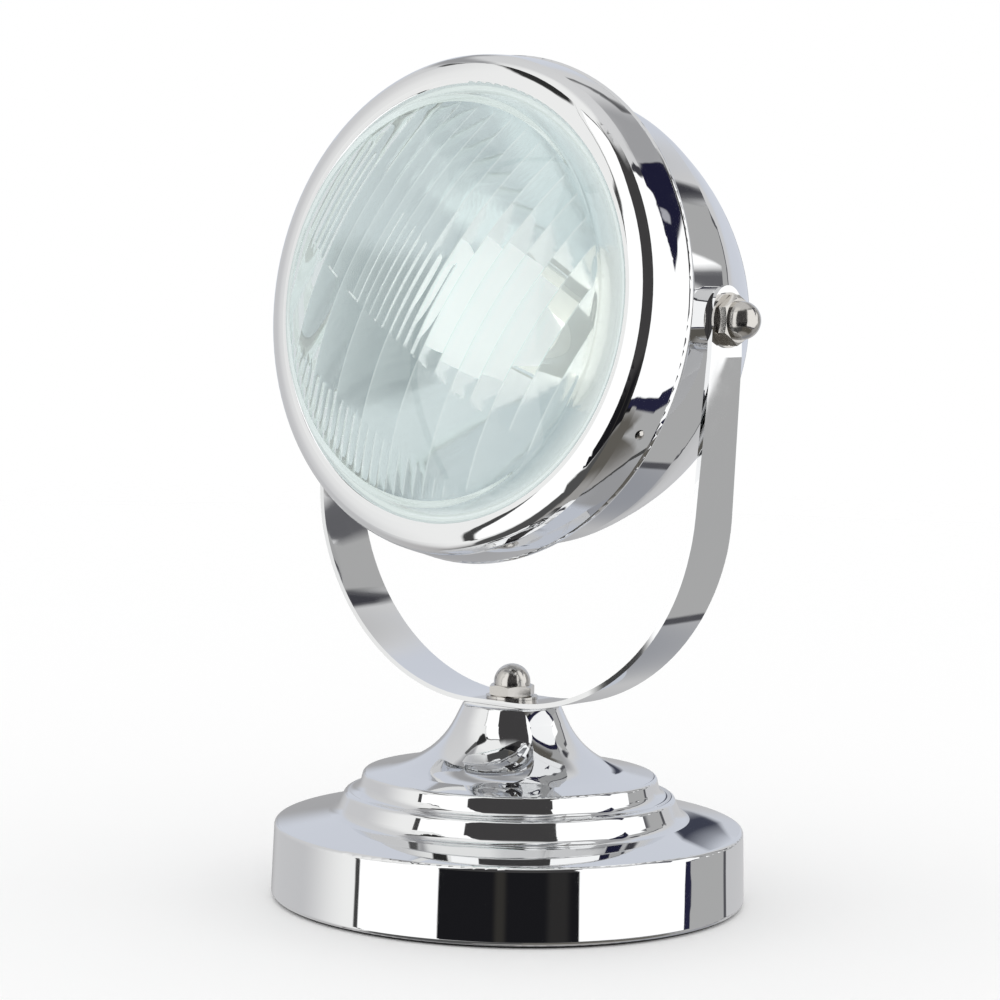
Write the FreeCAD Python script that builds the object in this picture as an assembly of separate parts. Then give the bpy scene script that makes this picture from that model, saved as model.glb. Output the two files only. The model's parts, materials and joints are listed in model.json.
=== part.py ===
"""Tabletop searchlight lamp: a weighted spun base, a swivelling U-shaped yoke and a tilting round headlamp.

Units are millimetres. +Z is up, the origin is the centre of the foot pad's underside, the lamp faces -Y
and the tilt axis runs along X. The headlamp's pieces are drawn about their own axis, with +Z towards the
lens, +Y towards the top of the lamp and the tilt axis at the origin, and are then set in the yoke.
"""
import FreeCAD, Part
import math
import os
from FreeCAD import Vector

# ---- Base -------------------------------------------------------------------------------------------
drum_radius = 80.0
drum_draft = 0.8            # how much narrower the drum is at its top
drum_height = 25.3
shoulder_rise = 3.4
step_radius = 49.6          # outer edge of the upper step
upper_flare = 1.5           # how far a step's wall leans out towards its foot
upper_step_height = 6.4
ledge_width = 4.5
lower_flare = 3.0
lower_step_height = 7.2
plate_rise = 4.5
cone_foot_radius = 25.6
cone_top_radius = 16.3
cone_height = 19.4
cone_sweep_radius = 30.0    # hollow curve from the upper step into the pedestal
edge_round = 1.5
upper_foot_round = 3.6      # hollow curve at each step's foot
lower_edge_round = 2.0
lower_foot_round = 4.5
base_wall = 1.0
lip_width = 2.0             # rolled-in lower edge that holds the bottom plate
lip_lift = 0.8              # the lip's height above the table

pad_inset = 0.5             # gap between the pad and the rolled lip
plate_thickness = 1.2
plate_clearance = 0.2
ballast_gap = 6.0           # gap between the ballast and the drum's wall
ballast_height = 15.0
counterbore_radius = 9.6
counterbore_depth = 6.0
tube_radius = 8.0
tube_clearance = 0.3

# ---- Studs, nuts and washers (one thread size throughout) -------------------------------------------
stud_radius = 5.0
stud_hole_clearance = 0.2   # fixed holes over the stud
swivel_clearance = 0.08     # running fit of the yoke's holes on the studs
nut_flats = 14.0
nut_height = 3.6
nut_chamfer = 0.5
dome_radius = 6.15
dome_lift = 0.9             # straight stretch between the hexagon and the dome
acorn_bore_depth = 6.3
lock_nut_height = 3.2
washer_radius = 8.8
washer_thickness = 0.8
lock_washer_thickness = 1.0
thread_end = 1.4            # thread that stands out of a lock nut
seat_gap = 0.05             # between the yoke and each face that it turns against

# ---- Yoke -------------------------------------------------------------------------------------------
pivot_rise = 130.4          # tilt axis above the yoke's seat
yoke_thickness = 1.6
yoke_width = 20.9
yoke_ear_width = 15.8
yoke_taper_start = 56.0     # height above the seat where the arms begin to narrow
yoke_lean = 3.5             # degrees that each arm leans outward
yoke_seat_margin = 0.3      # flat seat beyond the washer's edge
ear_margin = 1.0            # flat ear below the spacer's edge
ear_bend_radius = 5.0
ear_top_margin = 3.1        # centre of the ear's round end above the tilt axis

# ---- Headlamp: rim and lens --------------------------------------------------------------------------
head_tilt = 5.4             # degrees that the lens looks up at rest
aperture_radius = 70.9
rim_face_width = 2.6
rim_crown_radius = 13.7     # the roll turns gently off the face, then tighter, then eases into the side band
rim_crown_turn = 19.5       # degrees turned at the end of the crown
rim_corner_radius = 5.2
rim_corner_turn = 56.0      # degrees turned at the end of the corner
rim_shoulder_radius = 7.5
rim_shoulder_turn = 79.0    # degrees turned where the side band starts
rim_band_radius = 103.4     # slight crown along the side band
rim_band_turn = 86.5        # degrees turned where the side band ends, at the bead
rim_face_z = 38.1           # front of the rim ahead of the tilt axis
rim_lip = 1.7
rim_lip_round = 1.2
rim_wall = 0.9
bead_radius = 1.4
bead_stand = 0.5            # how far the bead stands out of the side band
rim_clearance = 0.6         # between the bead and the shell's skirt

lens_overlap = 2.3          # lens flange behind the rim's lip
lens_play = 0.8             # gap between the lens's raised wall and the rim's lip
lens_flange = 2.6
lens_wall = 3.2
lens_crown_radius = 66.8
lens_step = 5.8             # height of the raised wall above the rim's face
lens_sag = 18.0
lens_edge_round = 2.4

gasket_thickness = 1.2
gasket_width = 7.0
gasket_lip = 1.1
gasket_clearance = 0.1

# ---- Headlamp: shell --------------------------------------------------------------------------------
shell_wall = 1.0
skirt_cover = 9.3           # shell's front edge ahead of the bead's centre
skirt_length = 12.6
joggle_depth = 3.95         # step from the skirt down to the shell's body
joggle_length = 7.0
joggle_round = 4.0
shell_straight = 8.0        # straight body behind the tilt axis
bowl_depth = 80.0
bowl_flat_radius = 10.0     # flat disc around the cord inlet
bowl_power = 1.4
bowl_fullness = 0.53
bowl_points = 9

grommet_bore_radius = 3.3
grommet_neck_radius = 5.5
grommet_flange_radius = 8.0
grommet_flange_thickness = 1.5

spacer_radius = 10.6
spacer_length = 6.0

rim_screw_angle = 28.0      # degrees below the tilt axis, on each side
rim_screw_rise = 7.0        # screw's axis ahead of the bead's centre
rim_screw_radius = 1.0
rim_screw_head_radius = 1.7
rim_screw_head_height = 0.9
rim_screw_clearance = 0.1
rim_screw_tip = 0.6
rim_nut_width = 5.0
rim_nut_thickness = 1.5

# ---- Headlamp: reflector, lamp and clips --------------------------------------------------------------
reflector_focus = 24.0
reflector_mouth_radius = 66.0
reflector_seat_radius = 19.0
reflector_wall = 0.8
reflector_points = 8

clip_count = 6
clip_thickness = 0.5
clip_angle = 8.0            # degrees of the ring that one clip covers
clip_foot = 1.3
clip_reach = 9.0
clip_gap = 0.1

holder_radius = 14.0
holder_hole_clearance = 0.2
holder_length = 42.0
holder_mouth_radius = 11.4
holder_mouth_depth = 8.0
holder_ring_radius = 18.0
holder_ring_height = 2.4
cap_radius = 7.0
cap_length = 22.0
cap_clearance = 0.2
bulb_radius = 22.5
bulb_neck_radius = 10.6
bulb_length = 53.0
bulb_neck_length = 9.0
bulb_wall = 1.0


def point(radius, z):
    return Vector(radius, 0, z)


def roll_end(start, radius, turned, turn):
    """Where an arc ends that starts after one turn, in degrees off the rim's face, and stops at another."""
    first = math.radians(turned)
    last = math.radians(turn)
    return start + point(math.sin(last) - math.sin(first), math.cos(last) - math.cos(first)) * radius


def heading(turn):
    """Direction along the rim's outline after a turn off its face."""
    angle = math.radians(turn)
    return point(math.cos(angle), -math.sin(angle))


def band_radius(z, inset):
    """Distance of the rim's side band from the axis at a height, at a depth under its outside."""
    centre = band_end + heading(rim_band_turn + 90) * rim_band_radius
    return centre.x + math.sqrt((rim_band_radius - inset) ** 2 - (z - centre.z) ** 2)


# ---- Sizes that follow from the ones above ------------------------------------------------------------
pad_thickness = lip_lift + base_wall
plate_top = pad_thickness + plate_thickness
ballast_top = plate_top + ballast_height
drum_top_radius = drum_radius - drum_draft
step_foot_radius = step_radius + upper_flare
lower_step_radius = step_foot_radius + ledge_width
lower_foot_radius = lower_step_radius + lower_flare
shoulder_z = drum_height + shoulder_rise
ledge_z = shoulder_z + lower_step_height
step_z = ledge_z + upper_step_height
cone_foot_z = step_z + plate_rise
seat_z = cone_foot_z + cone_height
stud_hole_radius = stud_radius + stud_hole_clearance
swivel_hole_radius = stud_radius + swivel_clearance

pivot_z = seat_z + pivot_rise
crown_start = point(aperture_radius + rim_face_width, rim_face_z)
crown_end = roll_end(crown_start, rim_crown_radius, 0, rim_crown_turn)
corner_end = roll_end(crown_end, rim_corner_radius, rim_crown_turn, rim_corner_turn)
shoulder_end = roll_end(corner_end, rim_shoulder_radius, rim_corner_turn, rim_shoulder_turn)
band_end = roll_end(shoulder_end, rim_band_radius, rim_shoulder_turn, rim_band_turn)
rim_radius = band_end.x
bead_z = band_end.z
bead_ring_radius = rim_radius + bead_stand - bead_radius
skirt_radius = bead_ring_radius - bead_radius - rim_clearance
skirt_front_z = bead_z + skirt_cover
skirt_back_z = skirt_front_z - skirt_length
shell_radius = skirt_radius - joggle_depth
ear_inner_x = shell_radius + spacer_length
ear_outer_x = ear_inner_x + yoke_thickness

lens_radius = aperture_radius + lens_overlap
lens_front_z = rim_face_z - rim_lip
lens_back_z = lens_front_z - lens_flange
lens_wall_radius = aperture_radius - lens_play
crown_edge_z = rim_face_z + lens_step
crown_top_z = crown_edge_z + lens_sag
gasket_back_z = lens_back_z - gasket_thickness
gasket_radius = lens_radius + gasket_lip
vertex_z = gasket_back_z - reflector_mouth_radius ** 2 / (4 * reflector_focus)
neck_z = vertex_z + reflector_seat_radius ** 2 / (4 * reflector_focus)
holder_front_z = neck_z + holder_ring_height
bulb_back_z = holder_front_z - holder_mouth_depth
rim_screw_z = bead_z + rim_screw_rise
rim_screw_seat = band_radius(rim_screw_z - rim_screw_head_radius, 0)

same_place = 0.01           # distance within which two edges count as one
X_AXIS = Vector(1, 0, 0)
Z_AXIS = Vector(0, 0, 1)
ORIGIN = Vector(0, 0, 0)


# ---- Drawing helpers ------------------------------------------------------------------------------
def line(start, end):
    return Part.makeLine(start, end)


def rounded_path(corners):
    """Edges through corners of (radius, z, fillet); the two ends have no fillet."""
    points = [point(radius, z) for radius, z, fillet in corners]
    edges = []
    start = points[0]
    for before, corner, after, (radius, z, fillet) in zip(points, points[1:], points[2:], corners[1:]):
        end = corner
        if fillet:
            back = (before - corner).normalize()
            ahead = (after - corner).normalize()
            half_angle = back.getAngle(ahead) / 2
            reach = fillet / math.tan(half_angle)
            sagitta = fillet / math.sin(half_angle) - fillet
            middle = corner + (back + ahead).normalize() * sagitta
            end = corner + ahead * reach
            edges.append(line(start, corner + back * reach))
            edges.append(Part.Arc(corner + back * reach, middle, end).toShape())
        else:
            edges.append(line(start, corner))
        start = end
    edges.append(line(start, points[-1]))
    return edges


def spline(points, start_direction, end_direction):
    curve = Part.BSplineCurve()
    curve.interpolate(Points=points, InitialTangent=start_direction, FinalTangent=end_direction)
    return curve.toShape()


def turned(edges):
    """A full solid of revolution about Z from a closed outline."""
    return Part.Face(Part.Wire(edges)).revolve(ORIGIN, Z_AXIS, 360)


def sheet_face(edges, wall):
    """A sheet's section: its wall lies to the right of the outline's direction."""
    return Part.Wire(edges).makeOffset2D(-wall, 0, True, True)


def turned_sheet(edges, wall):
    return sheet_face(edges, wall).revolve(ORIGIN, Z_AXIS, 360)


def disc(radius, z, height):
    return Part.makeCylinder(radius, height, point(0, z), Z_AXIS)


def ring(outer, inner, z, height):
    return disc(outer, z, height).cut(disc(inner, z, height))


def hexagon(flats, height, bore):
    """A hexagonal nut on the plane z = 0, with chamfered corners and a bore."""
    corner = flats / math.sqrt(3)
    turns = [k * math.pi / 3 for k in range(7)]
    corners = [Vector(corner * math.cos(turn), corner * math.sin(turn), 0) for turn in turns]
    prism = Part.Face(Part.makePolygon(corners)).extrude(Vector(0, 0, height))
    outline = [
        (0, 0, 0),
        (flats / 2, 0, 0),
        (corner, nut_chamfer, 0),
        (corner, height - nut_chamfer, 0),
        (flats / 2, height, 0),
        (0, height, 0),
        (0, 0, 0),
    ]
    return prism.common(turned(rounded_path(outline))).cut(disc(bore, 0, height))


def acorn_nut():
    """Domed cap nut standing on z = 0, its blind bore open downward."""
    dome_z = nut_height + dome_lift
    body = hexagon(nut_flats, nut_height, stud_radius)
    cap = disc(dome_radius, nut_height - nut_chamfer, dome_lift + nut_chamfer)
    dome = Part.makeSphere(dome_radius, point(0, dome_z), Z_AXIS, 0, 90, 360)
    return body.fuse([cap, dome]).cut(disc(stud_radius, 0, acorn_bore_depth)).removeSplitter()


def washer(inner, thickness):
    return ring(washer_radius, inner, 0, thickness)


def lock_nut():
    return hexagon(nut_flats, lock_nut_height, stud_radius)


def lock_washer():
    return washer(stud_hole_radius, lock_washer_thickness)


def standing(shape, z):
    """Moves a piece drawn at z = 0 up the base's own axis."""
    shape.translate(point(0, z))
    return shape


def on_pivot(shape, x, side):
    """Lays a piece drawn on z = 0 along the tilt axis, its top outward, at distance x on one side."""
    shape.rotate(ORIGIN, Vector(0, 1, 0), 90 * side)
    shape.translate(Vector(side * x, 0, pivot_z))
    return shape


def on_both_pivots(make, x):
    return Part.makeCompound([on_pivot(make(), x, side) for side in (1, -1)])


def in_head(shape):
    """Sets a piece drawn about the lamp's own axis in the yoke, looking up by the rest tilt."""
    shape.rotate(ORIGIN, X_AXIS, 90 - head_tilt)
    shape.translate(point(0, pivot_z))
    return shape


# ---- Base --------------------------------------------------------------------------------------------
def base_shell():
    corners = [
        (stud_hole_radius, seat_z, 0),
        (cone_top_radius, seat_z, edge_round),
        (cone_foot_radius, cone_foot_z, cone_sweep_radius),
        (step_radius, step_z, edge_round),
        (step_foot_radius, ledge_z, upper_foot_round),
        (lower_step_radius, ledge_z, lower_edge_round),
        (lower_foot_radius, shoulder_z, lower_foot_round),
        (drum_top_radius, drum_height, edge_round),
        (drum_radius, lip_lift, edge_round),
        (drum_radius - lip_width, lip_lift, 0),
    ]
    return turned_sheet(rounded_path(corners), base_wall)


def base_pad():
    return disc(drum_radius - lip_width - pad_inset, 0, pad_thickness)


def base_plate():
    return disc(drum_radius - edge_round - plate_clearance, pad_thickness, plate_thickness)


def base_ballast():
    body = disc(drum_radius - ballast_gap, plate_top, ballast_height)
    body = body.cut(disc(stud_hole_radius, plate_top, ballast_height))
    return body.cut(disc(counterbore_radius, plate_top, counterbore_depth))


counterbore_top = plate_top + counterbore_depth
base_lock_nut_z = counterbore_top - lock_washer_thickness - lock_nut_height
yoke_top_z = seat_z + seat_gap + yoke_thickness + seat_gap
base_nut_z = yoke_top_z + washer_thickness


def base_stud():
    bottom = base_lock_nut_z - thread_end
    return disc(stud_radius, bottom, base_nut_z + acorn_bore_depth - bottom)


def pedestal_tube():
    inner = stud_hole_radius + tube_clearance
    return ring(tube_radius, inner, ballast_top, seat_z - base_wall - ballast_top)


# ---- Yoke --------------------------------------------------------------------------------------------
def yoke_strap():
    floor_z = seat_z + seat_gap
    ear_foot_z = pivot_z - spacer_radius - ear_margin
    ear_top_z = pivot_z + ear_top_margin + yoke_ear_width / 2
    lean = math.radians(yoke_lean)
    arm_foot_x = ear_outer_x - (ear_foot_z - floor_z) * math.tan(lean)
    flat_half = washer_radius + yoke_seat_margin
    corner_radius = (arm_foot_x - flat_half) / math.tan((math.pi / 2 - lean) / 2)
    outline = [
        (ear_outer_x, ear_top_z, 0),
        (ear_outer_x, ear_foot_z, ear_bend_radius),
        (arm_foot_x, floor_z, corner_radius),
        (0, floor_z, 0),
    ]
    section = sheet_face(rounded_path(outline), yoke_thickness)
    section.translate(Vector(0, -yoke_width / 2, 0))
    half = section.extrude(Vector(0, yoke_width, 0))
    strap = half.fuse(half.mirror(ORIGIN, X_AXIS)).removeSplitter()
    strap = strap.common(yoke_outline(floor_z))
    ear_start = Vector(-ear_outer_x, 0, pivot_z)
    ear_hole = Part.makeCylinder(swivel_hole_radius, 2 * ear_outer_x, ear_start, X_AXIS)
    return strap.cut([ear_hole, disc(swivel_hole_radius, floor_z, yoke_thickness)])


def yoke_outline(floor_z):
    """The strap as seen along X: parallel, then tapering to round ends."""
    wide = yoke_width / 2
    narrow = yoke_ear_width / 2
    taper_z = floor_z + yoke_taper_start
    end_z = pivot_z + ear_top_margin
    corners = [
        Vector(0, -narrow, end_z),
        Vector(0, -wide, taper_z),
        Vector(0, -wide, floor_z),
        Vector(0, wide, floor_z),
        Vector(0, wide, taper_z),
        Vector(0, narrow, end_z),
    ]
    edges = [line(start, end) for start, end in zip(corners, corners[1:])]
    edges.append(Part.Arc(corners[-1], Vector(0, 0, end_z + narrow), corners[0]).toShape())
    profile = Part.Face(Part.Wire(edges))
    profile.translate(Vector(-ear_outer_x, 0, 0))
    return profile.extrude(Vector(2 * ear_outer_x, 0, 0))


# ---- Pivots ------------------------------------------------------------------------------------------
ear_washer_x = ear_outer_x + seat_gap
pivot_nut_x = ear_washer_x + washer_thickness
inner_seat_x = math.sqrt((shell_radius - shell_wall) ** 2 - washer_radius ** 2) - seat_gap
pivot_lock_nut_x = inner_seat_x - lock_washer_thickness - lock_nut_height
pivot_stud_x = pivot_lock_nut_x - thread_end


def pivot_stud():
    return disc(stud_radius, 0, pivot_nut_x + acorn_bore_depth - pivot_stud_x)


def pivot_spacers():
    """Spacers that start on the shell's round side and end flat against the ears."""
    bar = ring(spacer_radius, stud_hole_radius, 0, spacer_length + spacer_radius - seat_gap)
    bars = on_both_pivots(bar.copy, shell_radius - spacer_radius)
    return bars.cut(in_head(shell_solid(0)))


# ---- Headlamp: rim and lens ------------------------------------------------------------------------------
def rim_screw_holes(radius):
    length = 2 * rim_radius
    holes = []
    for angle in (-rim_screw_angle, 180 + rim_screw_angle):
        hole = Part.makeCylinder(radius, length, point(0, rim_screw_z), X_AXIS)
        hole.rotate(ORIGIN, Z_AXIS, angle)
        holes.append(hole)
    return holes


def rim_roll():
    """Tangent arcs from the rim's face round to its side band."""
    arcs = [
        (crown_start, rim_crown_radius, 0, rim_crown_turn),
        (crown_end, rim_corner_radius, rim_crown_turn, rim_corner_turn),
        (corner_end, rim_shoulder_radius, rim_corner_turn, rim_shoulder_turn),
    ]
    edges = []
    for start, radius, turned, turn in arcs:
        middle = roll_end(start, radius, turned, (turned + turn) / 2)
        edges.append(Part.Arc(start, middle, roll_end(start, radius, turned, turn)).toShape())
    return edges


def band_points(inset):
    """Three points down the side band's crown, at a depth under its outside."""
    points = []
    for turn in (rim_shoulder_turn, (rim_shoulder_turn + rim_band_turn) / 2, rim_band_turn):
        inward = heading(turn + 90)
        points.append(roll_end(shoulder_end, rim_band_radius, rim_shoulder_turn, turn) + inward * inset)
    return points


def rim_band():
    """The slightly crowned side band, from the roll to the bead."""
    outer = band_points(0)
    inner = band_points(rim_wall)
    start, end = heading(rim_shoulder_turn), heading(rim_band_turn)
    edges = [
        spline(outer, start, end),
        line(outer[-1], inner[-1]),
        spline(inner, start, end),
        line(inner[0], outer[0]),
    ]
    return turned(edges)


def rim_bezel():
    lip = [
        (aperture_radius, lens_front_z, 0),
        (aperture_radius, rim_face_z, rim_lip_round),
        (crown_start.x, rim_face_z, 0),
    ]
    bead = Part.makeTorus(bead_ring_radius, bead_radius, point(0, bead_z), Z_AXIS)
    bezel = turned_sheet(rounded_path(lip) + rim_roll(), rim_wall).fuse([rim_band(), bead])
    return bezel.cut(rim_screw_holes(rim_screw_radius + rim_screw_clearance))


def lens_arc(edge_radius, edge_z, top_z):
    """Spherical crown from a rim point to the axis, as one arc in the XZ plane."""
    sag = top_z - edge_z
    sphere = (edge_radius ** 2 + sag ** 2) / (2 * sag)
    middle_angle = math.asin(edge_radius / sphere) / 2
    middle = point(sphere * math.sin(middle_angle), top_z - sphere * (1 - math.cos(middle_angle)))
    return Part.Arc(point(edge_radius, edge_z), middle, point(0, top_z)).toShape()


def lens_glass():
    inner_wall_radius = lens_wall_radius - lens_wall
    inner_crown_radius = lens_crown_radius - lens_wall
    inner_edge_z = crown_edge_z - lens_wall
    inner_top_z = crown_top_z - lens_wall
    wall = [
        (inner_crown_radius, inner_edge_z, 0),
        (inner_wall_radius, lens_back_z, 0),
        (lens_radius, lens_back_z, 0),
        (lens_radius, lens_front_z, 0),
        (lens_wall_radius, lens_front_z, 0),
        (lens_crown_radius, crown_edge_z, 0),
    ]
    edges = rounded_path(wall)
    edges.append(lens_arc(lens_crown_radius, crown_edge_z, crown_top_z))
    edges.append(line(point(0, crown_top_z), point(0, inner_top_z)))
    edges.append(lens_arc(inner_crown_radius, inner_edge_z, inner_top_z))
    glass = turned(edges)
    crown_edges = [edge for edge in glass.Edges if is_circle(edge, lens_crown_radius, crown_edge_z)]
    return glass.makeFillet(lens_edge_round, crown_edges)


def is_circle(edge, radius, z):
    """Whether an edge is the full circle of this radius at this height."""
    box = edge.BoundBox
    gaps = (box.ZMin - z, box.ZMax - z, box.XMax - radius, box.XMin + radius)
    return max(abs(gap) for gap in gaps) < same_place


def lens_gasket():
    channel = ring(gasket_radius, lens_radius + gasket_clearance, gasket_back_z, lens_front_z - gasket_back_z)
    washer_part = ring(gasket_radius, lens_radius - gasket_width, gasket_back_z, gasket_thickness)
    return channel.fuse(washer_part).removeSplitter()


def lens_clips():
    """Spring strips spot-welded inside the rim's band that press the reflector's flange forward."""
    tip_z = gasket_back_z - reflector_wall - clip_gap
    foot_z = skirt_front_z + clip_thickness + clip_gap
    outer = band_radius(foot_z + clip_foot, rim_wall)
    corners = [
        (outer, foot_z + clip_foot, 0),
        (outer, foot_z, clip_thickness),
        (outer - clip_reach, tip_z - clip_thickness, 0),
    ]
    face = sheet_face(rounded_path(corners), clip_thickness)
    clips = []
    for index in range(clip_count):
        clip = face.revolve(ORIGIN, Z_AXIS, clip_angle)
        clip.rotate(ORIGIN, Z_AXIS, index * 360 / clip_count - clip_angle / 2)
        clips.append(clip)
    return Part.makeCompound(clips)


# ---- Headlamp: shell ----------------------------------------------------------------------------------
def bowl_end(inset):
    """Share of the bowl's depth at which its curve meets the flat disc at the back."""
    flat_share = bowl_flat_radius / (shell_radius - inset)
    return (1 - flat_share ** (1 / bowl_fullness)) ** (1 / bowl_power)


def flat_z(inset):
    return -shell_straight - bowl_end(inset) * (bowl_depth - inset)


def bowl_point(fraction, inset):
    """A point of the bowl, from the straight body (0) to its tip (1), inset from the outside."""
    radius = (shell_radius - inset) * (1 - fraction ** bowl_power) ** bowl_fullness
    return point(radius, -shell_straight - fraction * (bowl_depth - inset))


def shell_solid(inset):
    """The room inside the shell's outline, set in by the given distance, from its front to its back."""
    last = bowl_end(inset)
    points = [bowl_point(last * index / (bowl_points - 1), inset) for index in range(bowl_points)]
    body = [
        (0, skirt_front_z, 0),
        (skirt_radius - inset, skirt_front_z, 0),
        (skirt_radius - inset, skirt_back_z, joggle_round),
        (shell_radius - inset, skirt_back_z - joggle_length, joggle_round),
        (shell_radius - inset, -shell_straight, 0),
    ]
    edges = rounded_path(body)
    edges.append(spline(points, Vector(0, 0, -1), points[-1] - points[-2]))
    edges.append(line(points[-1], point(0, flat_z(inset))))
    edges.append(line(point(0, flat_z(inset)), point(0, skirt_front_z)))
    return turned(edges)


def headlamp_shell():
    pivot_hole = Part.makeCylinder(stud_hole_radius, 2 * skirt_radius, Vector(-skirt_radius, 0, 0), X_AXIS)
    inlet = disc(grommet_neck_radius, flat_z(0), flat_z(shell_wall) - flat_z(0))
    screw_holes = rim_screw_holes(rim_screw_radius + rim_screw_clearance)
    return shell_solid(0).cut([shell_solid(shell_wall), pivot_hole, inlet] + screw_holes)


def cord_grommet():
    outside = flat_z(0) - grommet_flange_thickness
    neck_length = flat_z(shell_wall) - flat_z(0)
    outer_flange = disc(grommet_flange_radius, outside, grommet_flange_thickness)
    neck = disc(grommet_neck_radius, flat_z(0), neck_length)
    inner_flange = disc(grommet_flange_radius, flat_z(shell_wall), grommet_flange_thickness)
    bore = disc(grommet_bore_radius, outside, neck_length + 2 * grommet_flange_thickness)
    return outer_flange.fuse([neck, inner_flange]).cut(bore).removeSplitter()


def rim_screw():
    """Round-headed screw along +X through the band and the skirt, its head on the band."""
    nut_back = rim_nut_outer_x() - rim_nut_thickness
    start = nut_back - rim_screw_tip
    shank = Part.makeCylinder(rim_screw_radius, rim_screw_seat - start, point(start, 0), X_AXIS)
    dome = (rim_screw_head_radius ** 2 + rim_screw_head_height ** 2) / (2 * rim_screw_head_height)
    centre = rim_screw_seat + rim_screw_head_height - dome
    ball = Part.makeSphere(dome, point(centre, 0))
    head = ball.common(Part.makeCylinder(2 * dome, 2 * dome, point(rim_screw_seat, 0), X_AXIS))
    return shank.fuse(head).removeSplitter()


def rim_nut_outer_x():
    inner = skirt_radius - shell_wall
    return math.sqrt(inner ** 2 - (rim_nut_width / 2) ** 2) - seat_gap


def rim_nut():
    outer = rim_nut_outer_x()
    half = rim_nut_width / 2
    corner = Vector(outer - rim_nut_thickness, -half, -half)
    block = Part.makeBox(rim_nut_thickness, rim_nut_width, rim_nut_width, corner)
    return block.cut(Part.makeCylinder(rim_screw_radius, outer, ORIGIN, X_AXIS))


def at_rim_screws(make):
    pieces = []
    for angle in (-rim_screw_angle, 180 + rim_screw_angle):
        piece = make()
        piece.rotate(ORIGIN, Z_AXIS, angle)
        piece.translate(point(0, rim_screw_z))
        pieces.append(piece)
    return Part.makeCompound(pieces)


# ---- Headlamp: reflector and lamp -------------------------------------------------------------------------
def parabola_point(radius, inset):
    """A point of the reflector's bright face, or one set back from it along its normal."""
    slope = radius / (2 * reflector_focus)
    bright = point(radius, vertex_z + radius ** 2 / (4 * reflector_focus))
    return bright + Vector(slope, 0, -1).normalize() * inset


def parabola(inset):
    span = reflector_mouth_radius - reflector_seat_radius
    shares = [index / (reflector_points - 1) for index in range(reflector_points)]
    radii = [reflector_seat_radius + span * share for share in shares]
    points = [parabola_point(radius, inset) for radius in radii]
    slopes = [Vector(1, 0, radius / (2 * reflector_focus)) for radius in (radii[0], radii[-1])]
    return spline(points, slopes[0], slopes[1]), points[0], points[-1]


def reflector():
    """Parabolic bowl with a flat seat for the lampholder and a flange behind the gasket."""
    bright, bright_start, bright_end = parabola(0)
    back, back_start, back_end = parabola(reflector_wall)
    bowl = turned([bright, line(bright_end, back_end), back, line(back_start, bright_start)])
    flange = ring(gasket_radius, reflector_mouth_radius, gasket_back_z - reflector_wall, reflector_wall)
    hole_radius = holder_radius + holder_hole_clearance
    seat = ring(back_start.x, hole_radius, neck_z - reflector_wall, reflector_wall)
    return bowl.fuse([flange, seat])


def lampholder_body():
    body = disc(holder_radius, holder_front_z - holder_length, holder_length)
    mouth = disc(holder_mouth_radius, bulb_back_z, holder_mouth_depth)
    socket = disc(cap_radius + cap_clearance, bulb_back_z - cap_length, cap_length)
    return body.cut([mouth, socket])


def holder_ring(z):
    return ring(holder_ring_radius, holder_radius, z, holder_ring_height)


def bulb_cap():
    return disc(cap_radius, bulb_back_z - cap_length, cap_length)


def bulb_glass():
    """Frosted golf-ball bulb: a hollow globe on a short neck."""
    centre_z = bulb_back_z + bulb_length - bulb_radius
    outer = bulb_solid(bulb_radius, bulb_neck_radius, bulb_back_z, centre_z)
    inner_neck = bulb_neck_radius - bulb_wall
    inner = bulb_solid(bulb_radius - bulb_wall, inner_neck, bulb_back_z + bulb_wall, centre_z)
    return outer.cut(inner)


def bulb_solid(globe_radius, neck_radius, bottom_z, centre_z):
    """A globe on a neck, with a taper between them that meets the globe at 45 degrees."""
    globe = Part.makeSphere(globe_radius, point(0, centre_z))
    neck = disc(neck_radius, bottom_z, bulb_neck_length)
    taper_z = bottom_z + bulb_neck_length
    reach = globe_radius * math.sin(math.pi / 4)
    taper = Part.makeCone(neck_radius, reach, centre_z - reach - taper_z, point(0, taper_z), Z_AXIS)
    return globe.fuse([neck, taper]).removeSplitter()


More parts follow.
